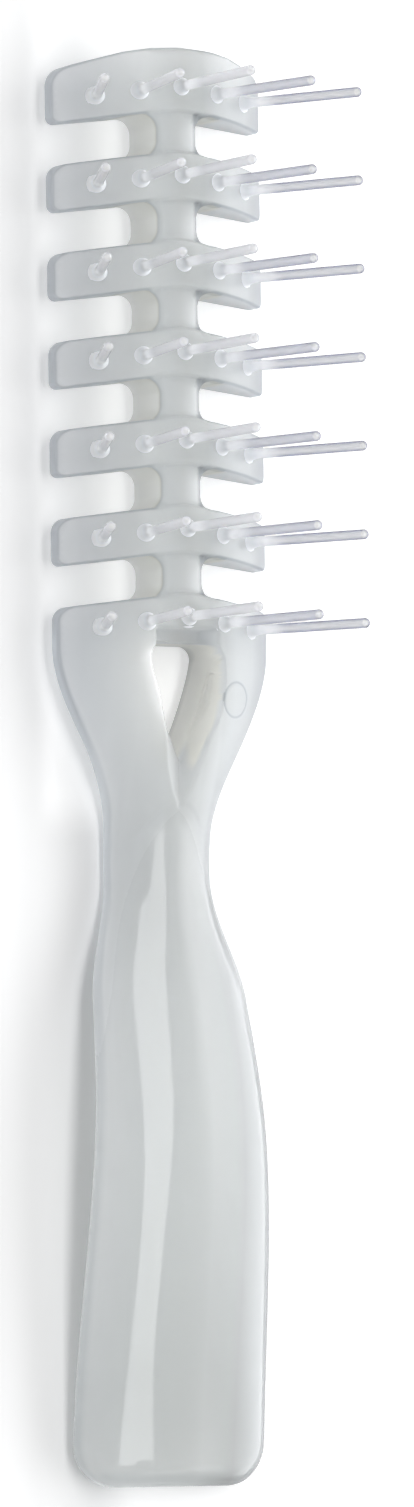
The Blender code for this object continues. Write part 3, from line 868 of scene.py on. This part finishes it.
def pin_profile():
    """Radius and height down a pin, from the tip to the foot that is sunk in the dome."""
    points = []
    for step in range(1, TIP_STEPS + 1):
        angle = math.pi / 2 * step / TIP_STEPS
        points.append((PIN_RADIUS * math.sin(angle), PIN_LENGTH - PIN_RADIUS * (1 - math.cos(angle))))
    for step in range(ROOT_STEPS + 1):
        turn = math.pi / 2 * step / ROOT_STEPS
        flare = (ROOT_RADIUS - PIN_RADIUS) * (1 - math.cos(turn))
        points.append((PIN_RADIUS + flare, ROOT_HEIGHT * (1 - math.sin(turn)) - ROOT_LOW))
    points.append((ROOT_RADIUS, -ROOT_SINK))
    return points


def make_pin(name, placed):
    """One pin as a closed turned form, put in its place on the dome."""
    solid = bmesh.new()
    rise_layer = solid.verts.layers.float.new("rise")
    tip = solid.verts.new((0.0, 0.0, PIN_LENGTH))
    rings = []
    for radius, height in pin_profile():
        turns = [2 * math.pi * index / PIN_SIDES for index in range(PIN_SIDES)]
        rings.append([solid.verts.new((radius * math.cos(turn), radius * math.sin(turn), height))
                      for turn in turns])
    for index in range(PIN_SIDES):
        following = (index + 1) % PIN_SIDES
        solid.faces.new((tip, rings[0][index], rings[0][following]))
        for upper, lower in zip(rings, rings[1:]):
            solid.faces.new((upper[index], lower[index], lower[following], upper[following]))
    solid.faces.new(reversed(rings[-1]))
    bmesh.ops.recalc_face_normals(solid, faces=solid.faces)
    for vertex in solid.verts:
        vertex[rise_layer] = vertex.co.z / PIN_LENGTH
    solid.transform(placed)
    mesh = bpy.data.meshes.new(name)
    solid.to_mesh(mesh)
    solid.free()
    mesh.shade_smooth()
    pin = bpy.data.objects.new(name, mesh)
    bpy.context.scene.collection.objects.link(pin)
    return pin


pin_milk, tree, shader = new_material("milky_pin")
place, split = place_on(tree)
rise = layer(tree, "rise")
facing = tree.nodes.new("ShaderNodeLayerWeight").outputs["Facing"]
clear_of_head = ranged(tree, split["X"], *CLEAR_OF_HEAD)
turned = worked(tree, "MULTIPLY", facing, clear_of_head)

veil = ranged(tree, noise(tree, place, PIN_FLOW_SCALE, FLOW_DETAIL), 0.0, 1.0, *PIN_VEIL)
plastic = mixed(tree, toned(tree, rise, PIN_TINTS), veil, kind="MULTIPLY")
# Painted shade: the shafts are darkened and blued towards their outline.
painted_edge_share = worked(tree, "MULTIPLY", ranged(tree, rise, *PAINTED_EDGE_RISE), clear_of_head)
plastic = mixed(tree, plastic, toned(tree, facing, PIN_PAINTED_EDGE_SHADE), painted_edge_share, "MULTIPLY")
tree.links.new(plastic, shader.inputs["Base Color"])

sheen = ranged(tree, rise, *SHEEN_RISE)
matt = ranged(tree, turned, *MATT_TURN)
tree.links.new(worked(tree, "MULTIPLY", sheen, matt), shader.inputs["Specular IOR Level"])
grain = noise(tree, place, PIN_GRAIN_SCALE)
tree.links.new(ranged(tree, grain, 0.0, 1.0, *PIN_ROUGHNESS), shader.inputs["Roughness"])
roughened(tree, shader, grain, PIN_GRAIN_STRENGTH, PIN_GRAIN_HEIGHT)
tree.links.new(ranged(tree, rise, *MILKY_RISE), shader.inputs["Subsurface Weight"])
clear = ranged(tree, rise, *CLEAR_RISE)
glassy = ranged(tree, turned, *GLASSY_TURN)
tree.links.new(worked(tree, "MULTIPLY", clear, glassy), shader.inputs["Transmission Weight"])
# Painted light: a faint glow at the foot of each pin, fading out up the shaft.
tree.links.new(ranged(tree, rise, *PAINTED_FOOT_GLOW), shader.inputs["Emission Strength"])
shader.inputs["Emission Color"].default_value = (0.95, 0.98, 1.0, 1.0)
shader.inputs["IOR"].default_value = 1.5
shader.inputs["Subsurface Radius"].default_value = (1.0, 1.0, 1.1)
shader.inputs["Subsurface Scale"].default_value = 0.03

for row in range(1, ROWS + 1):
    for number in range(1, PINS_PER_ROW + 1):
        across = number - (PINS_PER_ROW + 1) / 2
        x = DOME_RADIUS * math.sin(across * SEAT_STEP)
        z = DOME_AXIS + DOME_RADIUS * math.cos(across * SEAT_STEP)
        station = FIRST_ROW + (row - 1) * ROW_PITCH + abs(x) * RIB_SWEEP
        lean = Matrix.Rotation(across * LEAN_STEP, 4, "Y")
        placed = Matrix.Translation((x, station_to_y(station), z)) @ lean
        pin = make_pin(f"moulded_pin_{row}_{number}", placed)
        pin.data.materials.append(pin_milk)
        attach(pin, "root")
        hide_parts(f"pin_{row}_{number}")


# Floor
# A plain white board that the brush lies on. As the camera sees it, it glows white, with a painted soft
# shadow along the brush's left side, painted light beside the head where it shows through the slots and the
# vent, and no shadow past the brush's ends; what it sends up is weaker on the right.
FLOOR_HALF = 3.0
# Painted shadow and painted light on the floor, as the camera sees it.
SHADOW_BAND = (-0.03, 0.005)
PAINTED_SHADOW_LEVELS = [(0.086, 0.33), (0.257, 0.28), (0.514, 0.15), (0.771, 0.35)]
PAINTED_SLOT_LIGHT_LEVELS = [(0.257, 0.0), (0.371, 1.0), (0.714, 1.0), (0.829, 0.5)]
PAINTED_SLOT_LIGHT = 0.18
HEAD_START = (-0.012, -0.004)
SHADOW_BAND_END = (0.112, 0.135)
PLAIN_LEVEL = 0.34
SEEN_PAPER = 0.8
SENDS_UP = (0.03, -0.01)
PAPER_SHADE = (0.5, 0.93)
PAPER_GLOW = (0.0, 0.25)

floor_mesh = bpy.data.meshes.new("floor")
corners = [(-FLOOR_HALF, -FLOOR_HALF, 0.0), (FLOOR_HALF, -FLOOR_HALF, 0.0)]
corners += [(FLOOR_HALF, FLOOR_HALF, 0.0), (-FLOOR_HALF, FLOOR_HALF, 0.0)]
floor_mesh.from_pydata(corners, [], [(0, 1, 2, 3)])
floor = bpy.data.objects.new("floor", floor_mesh)
bpy.context.scene.collection.objects.link(floor)


def greys(levels):
    """Grey stops from (position, level) pairs."""
    return [(position, (level, level, level)) for position, level in levels]


def lit_board(tree, paper, strength):
    """Plain paper with some light of its own."""
    glow = tree.nodes.new("ShaderNodeEmission")
    tree.links.new(strength, glow.inputs["Strength"])
    both = tree.nodes.new("ShaderNodeAddShader")
    tree.links.new(paper.outputs["BSDF"], both.inputs[0])
    tree.links.new(glow.outputs["Emission"], both.inputs[1])
    return both.outputs["Shader"]


board, tree, shader = new_material("white_board")
tree.nodes.remove(shader)
place, split = place_on(tree)

# Painted shadow along the brush's left side, with painted light beside the head where the floor shows through
# the slots and the vent.
leftwards = ranged(tree, split["X"], *SHADOW_BAND)
painted_shadow = toned(tree, leftwards, greys(PAINTED_SHADOW_LEVELS), "EASE")
slots = toned(tree, leftwards, greys(PAINTED_SLOT_LIGHT_LEVELS), "EASE")
beside_head = ranged(tree, split["Y"], *HEAD_START, 0.0, PAINTED_SLOT_LIGHT, "SMOOTHSTEP")
painted_shadow_and_light = worked(tree, "MULTIPLY_ADD", slots, beside_head, painted_shadow)
from_middle = worked(tree, "ABSOLUTE", split["Y"])
seen_light = ranged(tree, from_middle, *SHADOW_BAND_END, 0.0, PLAIN_LEVEL, "SMOOTHSTEP")
tree.links.new(painted_shadow_and_light, seen_light.node.inputs["To Min"])
seen_paper = tree.nodes.new("ShaderNodeBsdfDiffuse")
seen_paper.inputs["Color"].default_value = (SEEN_PAPER, SEEN_PAPER, SEEN_PAPER, 1.0)
seen = lit_board(tree, seen_paper, seen_light)

paper = tree.nodes.new("ShaderNodeBsdfDiffuse")
shade = ranged(tree, split["X"], *SENDS_UP, *PAPER_SHADE, "SMOOTHSTEP")
tree.links.new(shade, paper.inputs["Color"])
lit = lit_board(tree, paper, ranged(tree, split["X"], *SENDS_UP, *PAPER_GLOW, "SMOOTHSTEP"))

chosen = tree.nodes.new("ShaderNodeMixShader")
tree.links.new(tree.nodes.new("ShaderNodeLightPath").outputs["Is Camera Ray"], chosen.inputs["Fac"])
tree.links.new(lit, chosen.inputs[1])
tree.links.new(seen, chosen.inputs[2])
tree.links.new(chosen.outputs["Shader"], tree.nodes["Material Output"].inputs["Surface"])
floor_mesh.materials.append(board)


# Light
# Two large white screens, a bright one low on the right and a weaker one on the left. A strip box
# overhead draws the long soft line down the handle, and one beyond the heel lights its rim.
SCREEN_DARK = 0.02

world = bpy.data.worlds.new("studio")
world.use_nodes = True
tree = world.node_tree
background = tree.nodes["Background"]
background.inputs["Color"].default_value = (0.98, 0.99, 1.0, 1.0)
way = tree.nodes.new("ShaderNodeTexCoord").outputs["Generated"]


def screen(direction, edge, brightness):
    """A soft-edged white screen on one side of the studio."""
    towards = tree.nodes.new("ShaderNodeVectorMath")
    towards.operation = "DOT_PRODUCT"
    towards.inputs[1].default_value = direction
    tree.links.new(way, towards.inputs[0])
    return ranged(tree, towards.outputs["Value"], edge, 1.0, SCREEN_DARK, brightness, "SMOOTHSTEP")


right = screen(direction=(1.0, 0.0, 0.0), edge=0.45, brightness=4.3)
left = screen(direction=(-0.85, 0.0, 0.53), edge=0.1, brightness=0.36)
tree.links.new(worked(tree, "ADD", right, left), background.inputs["Strength"])
bpy.context.scene.world = world


def soft_box(name, centre, target, width, height, radiance):
    """A rectangular soft box facing a point, of even brightness over its face."""
    lamp = bpy.data.lights.new(name, "AREA")
    lamp.shape = "RECTANGLE"
    lamp.size = width
    lamp.size_y = height
    lamp.energy = radiance * math.pi * width * height
    box = bpy.data.objects.new(name, lamp)
    box.location = centre
    box.rotation_euler = (Vector(target) - Vector(centre)).to_track_quat("-Z", "Y").to_euler()
    bpy.context.scene.collection.objects.link(box)


soft_box("strip_box", centre=(-0.012, 0.09, 0.6), target=(-0.012, 0.09, 0.0), width=0.175, height=0.72,
         radiance=4.4)
soft_box("heel_box", centre=(0.28, -0.60, 0.42), target=(0.0, -0.1, 0.0), width=0.75, height=0.13,
         radiance=1.6)


# Camera
# A long lens high over the brush and to the left of it, turned a little, with the brush's middle
# at a named pixel of the picture.
AZIMUTH = math.radians(29.06)
ELEVATION = math.radians(3.48)
ROLL = math.radians(0.81)
DISTANCE = 1.6445
PIXELS_PER_METRE = 6268.2
PICTURE_WIDTH = 414
PICTURE_HEIGHT = 1507
AIM_PIXEL = (114.02, 752.71)
AIM = Vector((0.0, 0.00325, -0.01149))
SENSOR = 36.0
CLIP_END = 10.0

backward = Vector((-math.sin(AZIMUTH) * math.cos(ELEVATION), -math.sin(ELEVATION),
                   math.cos(AZIMUTH) * math.cos(ELEVATION)))
sideways = Vector((math.cos(AZIMUTH), 0.0, math.sin(AZIMUTH)))
upward = backward.cross(sideways)
across = sideways * math.cos(ROLL) - upward * math.sin(ROLL)
upward = sideways * math.sin(ROLL) + upward * math.cos(ROLL)
eye = AIM + backward * DISTANCE
focal = PIXELS_PER_METRE * DISTANCE
backward -= across * (PICTURE_WIDTH / 2 - AIM_PIXEL[0]) / focal
backward -= upward * (AIM_PIXEL[1] - PICTURE_HEIGHT / 2) / focal
backward.normalize()
across = upward.cross(backward).normalized()
upward = backward.cross(across)

lens = bpy.data.cameras.new("camera")
lens.sensor_fit = "VERTICAL"
lens.sensor_height = SENSOR
lens.lens = focal / PICTURE_HEIGHT * SENSOR
lens.clip_end = CLIP_END
camera = bpy.data.objects.new("camera", lens)
camera.matrix_world = Matrix.Translation(eye) @ Matrix((across, upward, backward)).transposed().to_4x4()
bpy.context.scene.collection.objects.link(camera)
bpy.context.scene.camera = camera
bpy.context.scene.view_settings.view_transform = "Standard"
